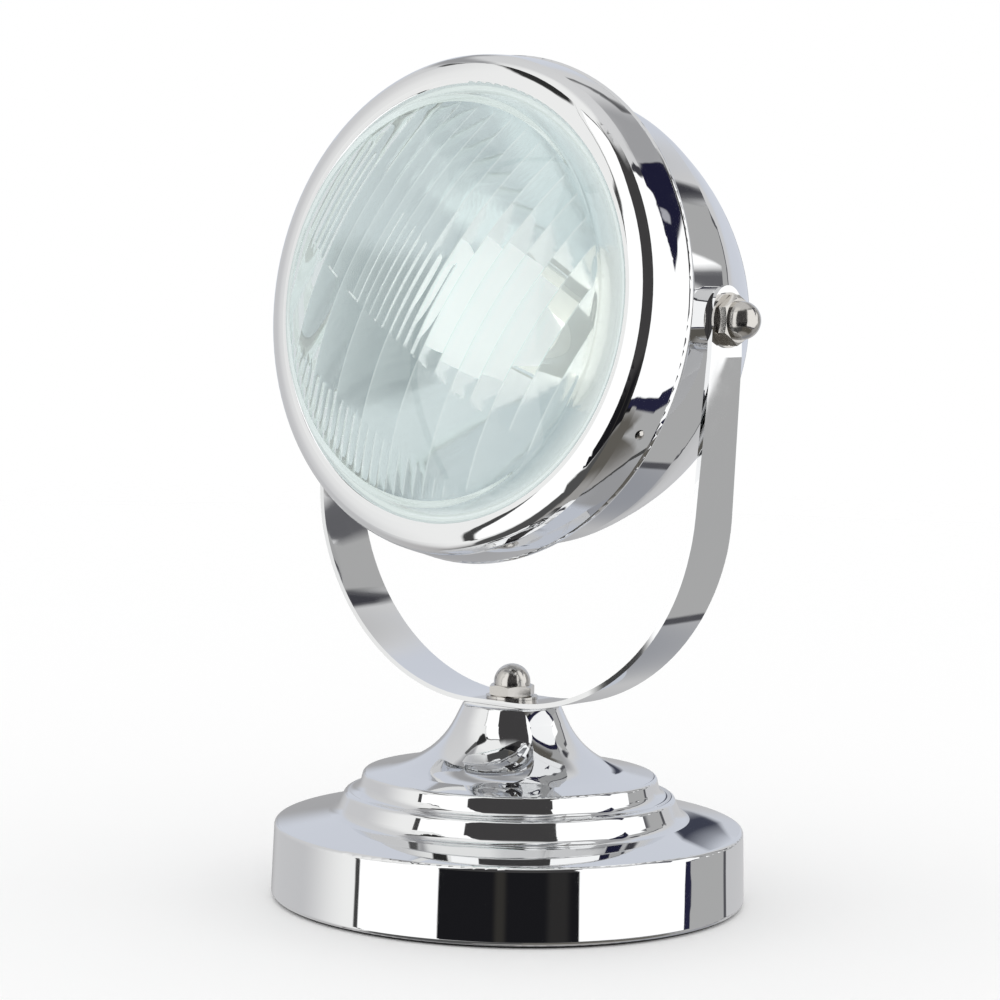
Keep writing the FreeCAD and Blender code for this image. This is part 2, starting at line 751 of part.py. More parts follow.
# ---- Assembly ---------------------------------------------------------------------------------------------
parts = {
    "base_shell": base_shell(),
    "base_pad": base_pad(),
    "base_plate": base_plate(),
    "base_ballast": base_ballast(),
    "base_stud": base_stud(),
    "stud_lock_nut": standing(lock_nut(), base_lock_nut_z),
    "stud_lock_washer": standing(lock_washer(), base_lock_nut_z + lock_nut_height),
    "pedestal_tube": pedestal_tube(),
    "base_washer": standing(washer(stud_hole_radius, washer_thickness), yoke_top_z),
    "base_acorn_nut": standing(acorn_nut(), base_nut_z),
    "yoke_strap": yoke_strap(),
    "pivot_studs": on_both_pivots(pivot_stud, pivot_stud_x),
    "pivot_spacers": pivot_spacers(),
    "pivot_washers": on_both_pivots(lambda: washer(stud_hole_radius, washer_thickness), ear_washer_x),
    "pivot_acorn_nuts": on_both_pivots(acorn_nut, pivot_nut_x),
    "pivot_lock_nuts": on_both_pivots(lock_nut, pivot_lock_nut_x),
    "pivot_lock_washers": on_both_pivots(lock_washer, pivot_lock_nut_x + lock_nut_height),
    "headlamp_shell": in_head(headlamp_shell()),
    "cord_grommet": in_head(cord_grommet()),
    "rim_bezel": in_head(rim_bezel()),
    "rim_screws": in_head(at_rim_screws(rim_screw)),
    "rim_nuts": in_head(at_rim_screws(rim_nut)),
    "lens_glass": in_head(lens_glass()),
    "lens_gasket": in_head(lens_gasket()),
    "lens_clips": in_head(lens_clips()),
    "reflector": in_head(reflector()),
    "lampholder_body": in_head(lampholder_body()),
    "lampholder_front_ring": in_head(holder_ring(neck_z)),
    "lampholder_rear_ring": in_head(holder_ring(neck_z - reflector_wall - holder_ring_height)),
    "bulb_cap": in_head(bulb_cap()),
    "bulb_glass": in_head(bulb_glass()),
}

os.makedirs("parts", exist_ok=True)
for name, shape in parts.items():
    shape.exportStep("parts/" + name + ".step")
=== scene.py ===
"""Looks of the tabletop searchlight lamp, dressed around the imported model.

Lengths are in metres, in the model's own frame: +Z is up and the lamp faces -Y.
"""
import json
import math

import bmesh
import bpy
from mathutils import Matrix, Vector


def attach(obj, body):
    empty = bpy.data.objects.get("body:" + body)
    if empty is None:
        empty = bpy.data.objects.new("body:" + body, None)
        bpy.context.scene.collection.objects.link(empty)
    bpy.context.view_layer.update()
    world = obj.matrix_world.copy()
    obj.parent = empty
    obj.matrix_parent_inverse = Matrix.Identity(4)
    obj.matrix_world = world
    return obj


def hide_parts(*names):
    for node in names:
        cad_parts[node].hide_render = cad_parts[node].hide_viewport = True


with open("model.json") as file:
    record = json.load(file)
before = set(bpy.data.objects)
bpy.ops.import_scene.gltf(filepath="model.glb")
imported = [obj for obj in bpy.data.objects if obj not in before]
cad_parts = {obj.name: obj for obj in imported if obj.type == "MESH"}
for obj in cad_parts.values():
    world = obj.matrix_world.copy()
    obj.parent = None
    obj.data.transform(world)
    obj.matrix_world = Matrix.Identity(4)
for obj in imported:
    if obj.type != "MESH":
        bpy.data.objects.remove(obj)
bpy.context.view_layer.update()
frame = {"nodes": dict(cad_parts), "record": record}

# ---- Headlamp ------------------------------------------------------------------------------------------
MM = 0.001
PIVOT_Z = 196.6 * MM
HEAD_TILT = math.radians(5.4)

# ---- Lens ----------------------------------------------------------------------------------------------
LENS_RADIUS = 73.2 * MM
LENS_GAP = 0.12 * MM        # from the flange to the rim's lip in front of it and to the gasket behind
LENS_BACK_Z = 33.8 * MM + LENS_GAP
LENS_FRONT_Z = 36.4 * MM - LENS_GAP
LENS_WALL_RADIUS = 70.1 * MM
LENS_WALL = 3.2 * MM
CROWN_RADIUS = 66.8 * MM
CROWN_EDGE_Z = 43.9 * MM
CROWN_SAG = 18.0 * MM
CROWN_ROUND = 2.4 * MM
ROUND_STEPS = 5
ROUNDING_ERROR = 1e-9

FLUTE_DIRECTION = math.radians(61.5)    # the way the flutes run, from the lamp's right towards its top
FLUTE_PITCH = 3.6 * MM
FLUTE_COLUMNS = 8
FLUTE_START = 1.5 * MM
FLUTE_FADE = 1.5 * MM
STEP_HALF = 0.4 * MM
SAME_PLACE = 0.01 * MM
EDGE_COLUMN_TURN = math.radians(10)     # nearer to the crown's ends than this the columns follow its rim
EDGE_COLUMNS = 7
OUTER_ROWS = 30
SHARP_ANGLE = math.radians(9)
# Painted highlights on the lens: an emission mixed into the glass, brightest on the ridges between flutes,
# fading across each flute's flank, and on its wall and flange.
RIDGE_PAINTED_HIGHLIGHT = 0.64            # painted highlight: how strongly the ridge between two flutes glows
FLANK_PAINTED_SHEEN = 0.36           # painted sheen: most on the flute's flank beside it, fading across the flute
WALL_PAINTED_GLOW = 0.62            # painted glow on the lens's wall and flange
WALL_PAINTED_GLOW_END = 2.0 * MM    # above the crown's edge, where the wall's painted glow has faded out
PAINTED_HIGHLIGHT_CONTRAST = 1.5
PAINTED_HIGHLIGHT_COLOUR = (0.80, 0.87, 0.86)
WELD = 0.002 * MM

# Where one block of flutes ends and the next begins: (across the flutes, along them), in millimetres.
LOW_LINE = ((-66, -40.0), (66, -48.0))
MIDDLE_LINE = ((-66, -7.3), (66, -18.5))
HIGH_LINE = ((-66, 31.5), (-48, 30), (-30, 24.5), (-15, 21.5), (0, 18), (15, 18.8), (66, 25.0))
SCALLOP = 0.7

# Each block: rows of faces, and strips as (from, pitches per flute, bulge in millimetres).
BOTTOM_BLOCK = (8, ((-70, 1, 0.20),))
LOW_BLOCK = (12, ((-70, 4, 0.34), (1.5, 4, 0.12)))
MIDDLE_BLOCK = (14, ((-70, 1, 0.20), (-41.7, 2, 0.12), (-16.5, 1, 0.22), (15.9, 2, 0.22)))
HIGH_BLOCK = (18, ((-70, 2, 0.26),))

# ---- Camera --------------------------------------------------------------------------------------------
CAMERA_DISTANCE = 0.921058
CAMERA_HEIGHT = 0.196338
CAMERA_AZIMUTH = 0.685      # radians to the right of the lamp's front
CAMERA_YAW = 0.006
CAMERA_PITCH = 0.067
CAMERA_ROLL = -0.023
CAMERA_LENS = 98.82
CAMERA_SENSOR = 36.0

# ---- Studio --------------------------------------------------------------------------------------------
FLOOR_RADIUS = 3.0
FLOOR_SEGMENTS = 128
FLOOR_COLOUR = (0.95, 0.95, 0.95)
FLOOR_FADE_START = 0.9
FLOOR_FADE_END = 2.2
SKY_COLOUR = (1.05, 1.05, 1.05)
WHITE = (1.0, 1.0, 1.0)
BOUNCES = {"max_bounces": 32, "glossy_bounces": 16, "transmission_bounces": 24, "diffuse_bounces": 6}
STUDIO_CENTRE = Vector((0.05, -0.03, 0.19))
PANEL_STEP = 1.0            # degrees between a panel's points

# The studio that polished metal shows, as (height as the sine of elevation, colour).
ROOM_RAMP = (
    (-1.0, (0.42, 0.41, 0.40)),
    (-0.95, (0.36, 0.35, 0.34)),
    (-0.88, (0.38, 0.37, 0.36)),
    (-0.75, (0.50, 0.49, 0.49)),
    (-0.50, (0.57, 0.57, 0.575)),
    (0.0, (0.62, 0.62, 0.635)),
    (0.60, (0.69, 0.69, 0.695)),
    (1.0, (0.74, 0.74, 0.745)),
)
# What glass lets through, in the same form.
THROUGH_GLASS = ((-1.0, (0.64, 0.65, 0.67)), (0.0, (0.73, 0.74, 0.76)), (1.0, (0.78, 0.79, 0.80)))

# Panels that only glass lets through, in the form of the ones below.
PANELS_THROUGH_GLASS = {
    "box_through_glass": (0.70, (0.98, 1.0, 1.0), 14.0, ((-90, -62, 12), (-34, -62, 12))),
    "gap_through_glass": (0.72, (0.36, 0.38, 0.39), 14.0, ((-26, -30, 70), (30, -30, 70))),
}

# Panels round the lamp that only reflections show: distance, colour, width of the soft edge in degrees (or
# across and up), and outline as (azimuth to the camera's right, low and high elevation) in degrees.
PANELS = {
    "soft_box_left": (0.70, (1.2, 1.2, 1.2), 0.6, (
        (-76, -37, -12), (-73, -37, 0), (-70.5, -37, 10), (-68, -37, 17), (-64.5, -37, 20), (-63, -37, 46),
        (-57, -37, 49), (-38, -37, 53), (-34.5, -37, 53.5),
    )),
    "soft_box_right": (0.70, (1.2, 1.2, 1.2), 0.6, (
        (33, -30, 17), (36, -30, 28), (39, -30, 38), (44, -30, 46), (50, -30, 56), (60, -30, 57),
        (68, -30, 55.5), (84, -29, 50.5), (92, -27, 47.5), (98, -14, 46), (104, -9, 44.5), (108, 4, 26),
        (112, 18, 22),
    )),
    "gap": (0.74, (0.011, 0.011, 0.013), 1.0, (
        (-37, -36, 53), (10, -36, 53.5), (36, -36, 56), (53, -36, 59),
    )),
    "gap_upper": (0.735, (0.055, 0.053, 0.054), (0.8, 12), (
        (-37, -18, 65), (10, -18, 65.5), (36, -18, 68), (53, -18, 71),
    )),
    "gap_middle": (0.73, (0.035, 0.033, 0.030), 3.0, ((-9, -34, -10), (-1, -34, -10))),
    "gap_right": (0.73, (0.028, 0.027, 0.027), 4.0, ((16, -34, -10), (30, -34, -10))),
    "gap_top": (0.745, (0.42, 0.42, 0.42), (14, 9), ((-24, 40, 68), (62, 40, 70))),
    "left_border": (0.72, (0.06, 0.06, 0.06), 0.8, (
        (-78.5, -37, -12), (-75.5, -37, 2), (-73.5, -37, 12), (-71, -37, 18), (-67, -37, 21),
        (-65.5, -37, 44),
    )),
    "left_border_top": (0.72, (0.06, 0.06, 0.06), 0.8, ((-67, 42, 46.5), (-57, 45, 50.5), (-35, 49, 55))),
    "left_wall": (0.78, (0.97, 0.97, 0.96), (36, 25), ((-116, -60, 90), (-6, -60, 90))),
    "right_border": (0.72, (0.02, 0.02, 0.05), 1.0, (
        (40, -34, -25), (84, -34, -25), (95, -32, 0), (100, -15, 12), (107, 8, 14),
    )),
    "right_wall": (0.76, (0.44, 0.44, 0.44), 2.0, ((88, -44, 34), (128, -44, 34))),
    "right_wall_end": (0.75, (0.09, 0.09, 0.10), 1.0, ((126, -44, 30), (130, -44, 30))),
    "back_low": (0.79, (0.40, 0.40, 0.41), (22, 8), ((163, -64, 2), (214, -64, 2))),
    "backdrop": (0.80, (0.65, 0.68, 0.75), (14, 7), ((136, -12, 36), (224, -12, 36))),
    "streak_left": (0.77, (0.36, 0.36, 0.37), 6.0, (
        (-176, 24, 38), (-160, 30, 46), (-150, 35, 51), (-130, 41, 56), (-105, 43, 55), (-88, 44, 50),
    )),
    "dark_line": (0.73, (0.10, 0.10, 0.10), 0.8, ((-118, 42.5, 45.5), (-90, 40.5, 47))),
    "dark_left": (0.73, (0.03, 0.03, 0.03), 1.6, (
        (-92, 41.5, 47), (-86, 40, 49), (-80, 36.5, 50), (-72, 35.5, 50), (-66, 38, 48),
    )),
    "wedge": (0.69, (0.014, 0.014, 0.038), 0.8, (
        (90.5, 13.5, 15), (91.5, 15, 19), (93, 17, 27), (97, 21, 34), (102, 25.5, 40), (104.5, 27.5, 44.5),
        (113, 34, 46), (117, 36, 44), (124, 39.6, 40.8),
    )),
    "wedge_tail": (0.72, (0.055, 0.055, 0.065), 2.5, (
        (121, 33, 36), (126, 29.5, 38), (131, 29, 38), (135, 32, 36),
    )),
    "right_edge": (0.69, (0.13, 0.13, 0.14), 2.0, ((105.5, -2, 14), (113, 0, 18))),
    "wedge_spur": (0.692, (0.05, 0.05, 0.06), 1.2, (
        (60, 56.5, 59), (68, 55, 59.5), (84, 50, 57.5), (98, 45.5, 51), (107, 43.5, 46),
    )),
    "wedge_spot": (0.685, (0.42, 0.42, 0.46), 1.0, ((96, 29.5, 31.5), (99, 28, 34.5), (102, 30.5, 32.5))),
    "wedge_shade": (0.75, (0.38, 0.38, 0.39), (20, 11), ((98, 31, 60), (162, 31, 58))),
    "streak_right": (0.74, (0.10, 0.10, 0.105), 1.4, ((149, 40, 43.5), (157, 39.5, 43.5), (172, 39.5, 41.8))),
    "dark_back": (0.78, (0.05, 0.055, 0.08), 1.6, ((167.5, 2, 8.5), (169.5, -6, 7.5), (172, -9.5, -3))),
    "low_right": (0.785, (0.32, 0.33, 0.36), (10, 10), ((112, -72, -34), (172, -72, -34))),
    "ground_back": (0.79, (0.13, 0.13, 0.13), 9.0, ((-178, -88, -54), (-70, -88, -48))),
    "ground_left": (0.77, (0.085, 0.085, 0.085), 4.0, ((-92, -82, -56), (-74, -82, -38), (8, -66, -34))),
    "ground_right": (0.78, (0.125, 0.117, 0.103), (30, 11), (
        (-30, -76, -29), (60, -70, -29), (120, -64, -29),
    )),
}


# ---- Small helpers -------------------------------------------------------------------------------------
def scene_object(name, data):
    item = bpy.data.objects.new(name, data)
    bpy.context.collection.objects.link(item)
    return item


def head_place():
    """From the headlamp's own axes, with +Z out through the lens, to the model's frame."""
    return Matrix.Translation((0, 0, PIVOT_Z)) @ Matrix.Rotation(math.pi / 2 - HEAD_TILT, 4, "X")


def along(line, x):
    """Height of a line of (x, height) points at x."""
    for (x0, y0), (x1, y1) in zip(line, line[1:]):
        if x <= x1:
            return y0 + (y1 - y0) * (x - x0) / (x1 - x0)
    return line[-1][1]


def smooth(value):
    value = min(max(value, 0), 1)
    return value * value * (3 - 2 * value)


# ---- Materials -----------------------------------------------------------------------------------------
BUMP_DEPTH = 0.2 * MM
CHROME_BUMP_DEPTH = 0.3 * MM
OPAL_BUMP_DEPTH = 0.1 * MM


class Shader:
    """A material's node tree, with short calls to add nodes and join them."""

    def __init__(self, name):
        self.material = bpy.data.materials.new(name)
        self.material.use_nodes = True
        self.nodes = self.material.node_tree.nodes
        self.links = self.material.node_tree.links
        self.surface = self.nodes["Principled BSDF"]
        self.output = self.nodes["Material Output"]
        self.place = self.nodes.new("ShaderNodeTexCoord").outputs["Object"]

    def set(self, **values):
        for name, value in values.items():
            self.surface.inputs[name.replace("_", " ")].default_value = value

    def noise(self, scale, detail):
        node = self.nodes.new("ShaderNodeTexNoise")
        node.inputs["Scale"].default_value = scale
        node.inputs["Detail"].default_value = detail
        self.links.new(self.place, node.inputs["Vector"])
        return node.outputs["Fac"]

    def spread(self, value, low, high, start=0.3, end=0.7):
        """A value from 0 to 1 spread over a new range."""
        node = self.nodes.new("ShaderNodeMapRange")
        for name, number in zip(("From Min", "From Max", "To Min", "To Max"), (start, end, low, high)):
            node.inputs[name].default_value = number
        self.links.new(value, node.inputs["Value"])
        return node.outputs["Result"]

    def colour(self, factor, first, second):
        node = self.nodes.new("ShaderNodeMix")
        node.data_type = "RGBA"
        node.inputs["A"].default_value = (*first, 1)
        node.inputs["B"].default_value = (*second, 1)
        self.links.new(factor, node.inputs["Factor"])
        self.links.new(node.outputs["Result"], self.surface.inputs["Base Color"])

    def rough(self, factor, low, high):
        self.links.new(self.spread(factor, low, high), self.surface.inputs["Roughness"])

    def bump(self, height, strength, distance):
        node = self.nodes.new("ShaderNodeBump")
        node.inputs["Strength"].default_value = strength
        node.inputs["Distance"].default_value = distance
        self.links.new(height, node.inputs["Height"])
        self.links.new(node.outputs["Normal"], self.surface.inputs["Normal"])


def metal(name, first, second, low, high, grain, bump):
    shader = Shader(name)
    shader.set(Metallic=1.0)
    shader.colour(shader.noise(grain, 4.0), first, second)
    shader.rough(shader.noise(grain * 4, 5.0), low, high)
    shader.bump(shader.noise(grain * 3, 4.0), bump, BUMP_DEPTH)
    return shader.material


def matter(name, first, second, low, high, grain, bump, glow=0.0):
    shader = Shader(name)
    # glow is painted light: an emission that brightens a part which is no lamp.
    shader.set(Emission_Color=(*second, 1), Emission_Strength=glow)
    shader.colour(shader.noise(grain, 4.0), first, second)
    shader.rough(shader.noise(grain * 2, 4.0), low, high)
    shader.bump(shader.noise(grain * 3, 5.0), bump, BUMP_DEPTH)
    return shader.material


def chrome():
    shader = Shader("polished_chrome")
    shader.set(Metallic=1.0)
    shader.colour(shader.noise(35, 4.0), (0.83, 0.84, 0.85), (0.87, 0.87, 0.87))
    shader.rough(shader.noise(160, 6.0), 0.012, 0.045)
    shader.bump(shader.noise(45, 2.0), 0.03, CHROME_BUMP_DEPTH)
    return shader.material


def clear_glass():
    """Pressed glass with painted highlights: an emission mixed in where the mesh's painted highlight
    attribute is above 0.
    """
    shader = Shader("fluted_glass")
    shader.set(Transmission_Weight=1.0, IOR=1.5)
    shader.colour(shader.noise(40, 3.0), (0.90, 0.965, 0.955), (0.915, 0.97, 0.965))
    shader.rough(shader.noise(200, 4.0), 0.0, 0.03)
    shader.bump(shader.noise(90, 3.0), 0.05, BUMP_DEPTH)
    nodes, links = shader.nodes, shader.links
    painted_highlight = nodes.new("ShaderNodeAttribute")
    painted_highlight.attribute_name = "painted_highlight"
    share = nodes.new("ShaderNodeMath")
    share.operation = "POWER"
    share.inputs[1].default_value = PAINTED_HIGHLIGHT_CONTRAST
    links.new(painted_highlight.outputs["Fac"], share.inputs[0])
    # Painted highlight: a glow of the highlight colour, mixed into the glass by the attribute.
    highlight_glow = nodes.new("ShaderNodeEmission")
    highlight_glow.inputs["Color"].default_value = (*PAINTED_HIGHLIGHT_COLOUR, 1)
    mix = nodes.new("ShaderNodeMixShader")
    links.new(share.outputs["Value"], mix.inputs["Fac"])
    links.new(shader.surface.outputs["BSDF"], mix.inputs[1])
    links.new(highlight_glow.outputs["Emission"], mix.inputs[2])
    links.new(mix.outputs["Shader"], shader.output.inputs["Surface"])
    shader.material.cycles.emission_sampling = "NONE"
    return shader.material


def opal_glass():
    shader = Shader("frosted_glass")
    # Painted highlight: a faint white emission that brightens the frosted glass.
    shader.set(Transmission_Weight=0.1, IOR=1.45, Emission_Color=(1, 1, 1, 1), Emission_Strength=0.34)
    shader.colour(shader.noise(60, 3.0), (0.93, 0.93, 0.91), (0.96, 0.96, 0.95))
    shader.rough(shader.noise(300, 4.0), 0.35, 0.5)
    shader.bump(shader.noise(900, 3.0), 0.1, OPAL_BUMP_DEPTH)
    return shader.material


# Each plain material: base colours, roughness from and to, grain, bump, and a painted glow where there is
# one.
METALS = {
    "nickel": ((0.60, 0.58, 0.55), (0.66, 0.64, 0.61), 0.10, 0.20, 60, 0.05),
    "zinc_steel": ((0.52, 0.54, 0.56), (0.62, 0.62, 0.60), 0.28, 0.42, 90, 0.15),
    "bright_aluminium": ((0.86, 0.87, 0.88), (0.90, 0.91, 0.92), 0.06, 0.12, 50, 0.03),
    "cap_brass": ((0.74, 0.64, 0.44), (0.82, 0.73, 0.54), 0.25, 0.4, 80, 0.1),
}
MATTERS = {
    "iron": ((0.03, 0.03, 0.032), (0.07, 0.065, 0.06), 0.6, 0.8, 120, 0.5),
    "foot_rubber": ((0.012, 0.012, 0.012), (0.03, 0.03, 0.03), 0.6, 0.8, 200, 0.3),
    "black_rubber": ((0.012, 0.012, 0.012), (0.025, 0.025, 0.025), 0.5, 0.7, 220, 0.2),
    "pale_rubber": ((0.80, 0.80, 0.74), (0.87, 0.87, 0.83), 0.5, 0.7, 220, 0.2),
    # The lampholder's plastic has a painted glow that brightens it where it sits in shade inside the head.
    "holder_plastic": ((0.76, 0.75, 0.70), (0.82, 0.81, 0.77), 0.25, 0.4, 150, 0.1, 0.35),
}


def finishes():
    """A material for each of the model's material slots."""
    made = {"polished_chrome": chrome(), "fluted_glass": clear_glass(), "frosted_glass": opal_glass()}
    made.update((name, metal(name, *values)) for name, values in METALS.items())
    made.update((name, matter(name, *values)) for name, values in MATTERS.items())
    return made


def dress_nodes(materials):
    """Gives each CAD node the finish of the slot that it was packed with."""
    slots = {part["node"]: part["material_slot"] for part in frame["record"]["subparts"]}
    for name, node in frame["nodes"].items():
        for slot in node.material_slots:
            slot.material = materials[slots[name]]


# ---- Lens: its mesh ------------------------------------------------------------------------------------
def sphere_z(radius, edge_radius, edge_z):
    """Height of a crown of the lens's sag over a circle, at a distance from the axis."""
    ball = (edge_radius ** 2 + CROWN_SAG ** 2) / (2 * CROWN_SAG)
    return edge_z + CROWN_SAG - ball + math.sqrt(ball ** 2 - radius ** 2)


def columns(radius):
    """Places across the flutes, in step with them, and closer together at both ends of the crown."""
    step = FLUTE_PITCH / FLUTE_COLUMNS
    limit = radius * math.cos(EDGE_COLUMN_TURN)
    first = math.ceil((-limit - FLUTE_START) / step)
    last = math.floor((limit - FLUTE_START) / step)
    inside = [FLUTE_START + step * index for index in range(first, last + 1)]
    ends = [radius * math.cos(EDGE_COLUMN_TURN * index / EDGE_COLUMNS) for index in range(EDGE_COLUMNS)]
    return [-end for end in ends] + inside + ends[::-1]


def flute(across, strips):
    """(bulge, painted highlight) at a place across strips of flutes: how far they stand out and glow."""
    for start, pitches, height in reversed(strips):
        if across >= start * MM - ROUNDING_ERROR:
            break
    pitch = FLUTE_PITCH * pitches
    share = ((across - FLUTE_START) / pitch) % 1
    ridge = min(share, 1 - share) * pitch < SAME_PLACE
    return height * MM * (1 - (2 * share - 1) ** 2), RIDGE_PAINTED_HIGHLIGHT if ridge else FLANK_PAINTED_SHEEN * (1 - share)


def fluted_rows(across, radius):
    """(along, bulge, painted highlight) of each point of one column, from the crown's lower edge to its
    upper.
    """
    end = math.sqrt(max(radius ** 2 - across ** 2, 0))
    lines = [along(line, across / MM) * MM for line in (LOW_LINE, MIDDLE_LINE, HIGH_LINE)]
    share = ((across - FLUTE_START) / (2 * FLUTE_PITCH)) % 1
    lines[2] -= SCALLOP * MM * (1 - (2 * share - 1) ** 2)
    limits = [-end] + [min(max(line, -end), end) for line in lines] + [end]
    points = []
    for index, (rows, strips) in enumerate((BOTTOM_BLOCK, LOW_BLOCK, MIDDLE_BLOCK, HIGH_BLOCK)):
        low = limits[index] + (STEP_HALF if index else 0)
        high = limits[index + 1] - (STEP_HALF if index < 3 else 0)
        low, high = min(low, end), max(high, -end)
        if high < low:
            low = high = limits[index]
        height, painted_highlight = flute(across, strips)
        for row in range(rows + 1):
            place = low + (high - low) * row / rows
            fade = smooth((radius - math.hypot(across, place)) / FLUTE_FADE)
            points.append((place, height * fade, painted_highlight * fade))
    return points


def plain_rows(across, radius):
    end = math.sqrt(max(radius ** 2 - across ** 2, 0))
    return [(end * (2 * row / OUTER_ROWS - 1), 0, 0) for row in range(OUTER_ROWS + 1)]


def crown_skin(mesh, radius, edge_radius, edge_z, rows, scale=1.0, inward=False):
    """One face of the crown, out to a radius. Returns its rim's points, anticlockwise."""
    run = Vector((math.cos(FLUTE_DIRECTION), math.sin(FLUTE_DIRECTION)))
    side = Vector((run.y, -run.x))
    painted_highlights = mesh.verts.layers.float["painted_highlight"]
    grid = []
    for across in columns(radius / scale):
        across *= scale
        column = []
        for place, height, painted_highlight in rows(across, radius):
            flat = side * across + run * place
            z = sphere_z(min(math.hypot(across, place), radius), edge_radius, edge_z) - height
            vert = mesh.verts.new((flat.x, flat.y, z))
            # The point's painted highlight, which the glass turns into a glow.
            vert[painted_highlights] = painted_highlight
            column.append(vert)
        grid.append(column)
    for left, right in zip(grid, grid[1:]):
        for low in range(len(left) - 1):
            corners = (left[low], right[low], right[low + 1], left[low + 1])
            mesh.faces.new(corners[::-1] if inward else corners)
    lower = [column[0] for column in grid]
    upper = [column[-1] for column in grid]
    return lower + upper[-2:0:-1]


def lens_profile():
    """(radius, z) of the rings from the crown's inner rim round the lens's flange to its outer rim."""
    inner_wall = LENS_WALL_RADIUS - LENS_WALL
    rings = [(inner_wall, LENS_BACK_Z), (LENS_RADIUS, LENS_BACK_Z)]
    rings += [(LENS_RADIUS, LENS_FRONT_Z), (LENS_WALL_RADIUS, LENS_FRONT_Z)]
    return rings + crown_round()


def crown_round():
    """(radius, z) of the rounded edge of the crown, from the wall inwards to where the crown begins."""
    wall = Vector((LENS_WALL_RADIUS - CROWN_RADIUS, LENS_FRONT_Z - CROWN_EDGE_Z)).normalized()
    ball = (CROWN_RADIUS ** 2 + CROWN_SAG ** 2) / (2 * CROWN_SAG)
    ball_z = CROWN_EDGE_Z + CROWN_SAG - ball
    normal = Vector((-wall.y, wall.x))
    corner = Vector((CROWN_RADIUS, CROWN_EDGE_Z))
    # The rounding's centre lies CROWN_ROUND inside both the wall and the crown's sphere.
    inset = corner - normal * CROWN_ROUND
    reach = ball - CROWN_ROUND
    offset = inset - Vector((0, ball_z))
    half = offset.dot(wall)
    shift = -half - math.sqrt(half ** 2 - offset.length_squared + reach ** 2)
    centre = inset + wall * shift
    outward = (centre - Vector((0, ball_z))).normalized()
    start = math.atan2(normal.y, normal.x)
    end = math.atan2(outward.y, outward.x)
    points = []
    for index in range(ROUND_STEPS + 1):
        turn = start + (end - start) * index / ROUND_STEPS
        points.append((centre.x + CROWN_ROUND * math.cos(turn), centre.y + CROWN_ROUND * math.sin(turn)))
    return points


def fluted_lens(material):
    mesh = bmesh.new()
    # Painted highlight of each point, read by the glass's material as a glow.
    painted_highlights = mesh.verts.layers.float.new("painted_highlight")
    inner_edge = CROWN_RADIUS - LENS_WALL
    profile = lens_profile()
    outer_edge = profile[-1][0]
    first = crown_skin(mesh, inner_edge, inner_edge, CROWN_EDGE_Z - LENS_WALL, fluted_rows, 1.0, True)
    last = crown_skin(mesh, outer_edge, CROWN_RADIUS, CROWN_EDGE_Z, plain_rows, outer_edge / inner_edge)
    turns = [math.atan2(vert.co.y, vert.co.x) for vert in first]
    fade = CROWN_EDGE_Z + WALL_PAINTED_GLOW_END - LENS_FRONT_Z
    loops = [first]
    for radius, z in profile[:-1]:
        loop = [mesh.verts.new((radius * math.cos(turn), radius * math.sin(turn), z)) for turn in turns]
        for vert in loop:
            # Painted glow on the wall and flange, fading out above the crown's edge.
            vert[painted_highlights] = WALL_PAINTED_GLOW * (1 - smooth((z - LENS_FRONT_Z) / fade))
        loops.append(loop)
    loops.append(last)
    for low, high in zip(loops, loops[1:]):
        for index in range(len(low)):
            after = (index + 1) % len(low)
            mesh.faces.new((low[index], low[after], high[after], high[index]))
    bmesh.ops.remove_doubles(mesh, verts=mesh.verts[:], dist=WELD)
    bmesh.ops.recalc_face_normals(mesh, faces=mesh.faces[:])
    mesh.transform(head_place())
    data = bpy.data.meshes.new("fluted_lens")
    mesh.to_mesh(data)
    mesh.free()
    data.materials.append(material)
    data.shade_smooth()
    data.set_sharp_from_angle(angle=SHARP_ANGLE)
    lens = scene_object("fluted_lens", data)
    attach(lens, "headlamp")
    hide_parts("lens_glass")


# ---- Studio --------------------------------------------------------------------------------------------
def direction(azimuth, elevation):
    """Unit vector at an angle to the camera's right and one above the horizon, in degrees."""
    turn = CAMERA_AZIMUTH + math.radians(azimuth)
    lift = math.radians(elevation)
    return Vector((math.sin(turn) * math.cos(lift), -math.cos(turn) * math.cos(lift), math.sin(lift)))


def glow(name, colour):
    """A light of one colour that fades out where the mesh's attribute "edge" goes to 0."""
    material = bpy.data.materials.new(name)
    material.use_nodes = True
    nodes, links = material.node_tree.nodes, material.node_tree.links
    nodes.remove(nodes["Principled BSDF"])
    light = nodes.new("ShaderNodeEmission")
    light.inputs["Color"].default_value = (*colour, 1)
    light.inputs["Strength"].default_value = 1.0
    edge = nodes.new("ShaderNodeAttribute")
    edge.attribute_name = "edge"
    mix = nodes.new("ShaderNodeMixShader")
    links.new(edge.outputs["Fac"], mix.inputs["Fac"])
    links.new(nodes.new("ShaderNodeBsdfTransparent").outputs["BSDF"], mix.inputs[1])
    links.new(light.outputs["Emission"], mix.inputs[2])
    links.new(mix.outputs["Shader"], nodes["Material Output"].inputs["Surface"])
    material.cycles.emission_sampling = "NONE"
    return material


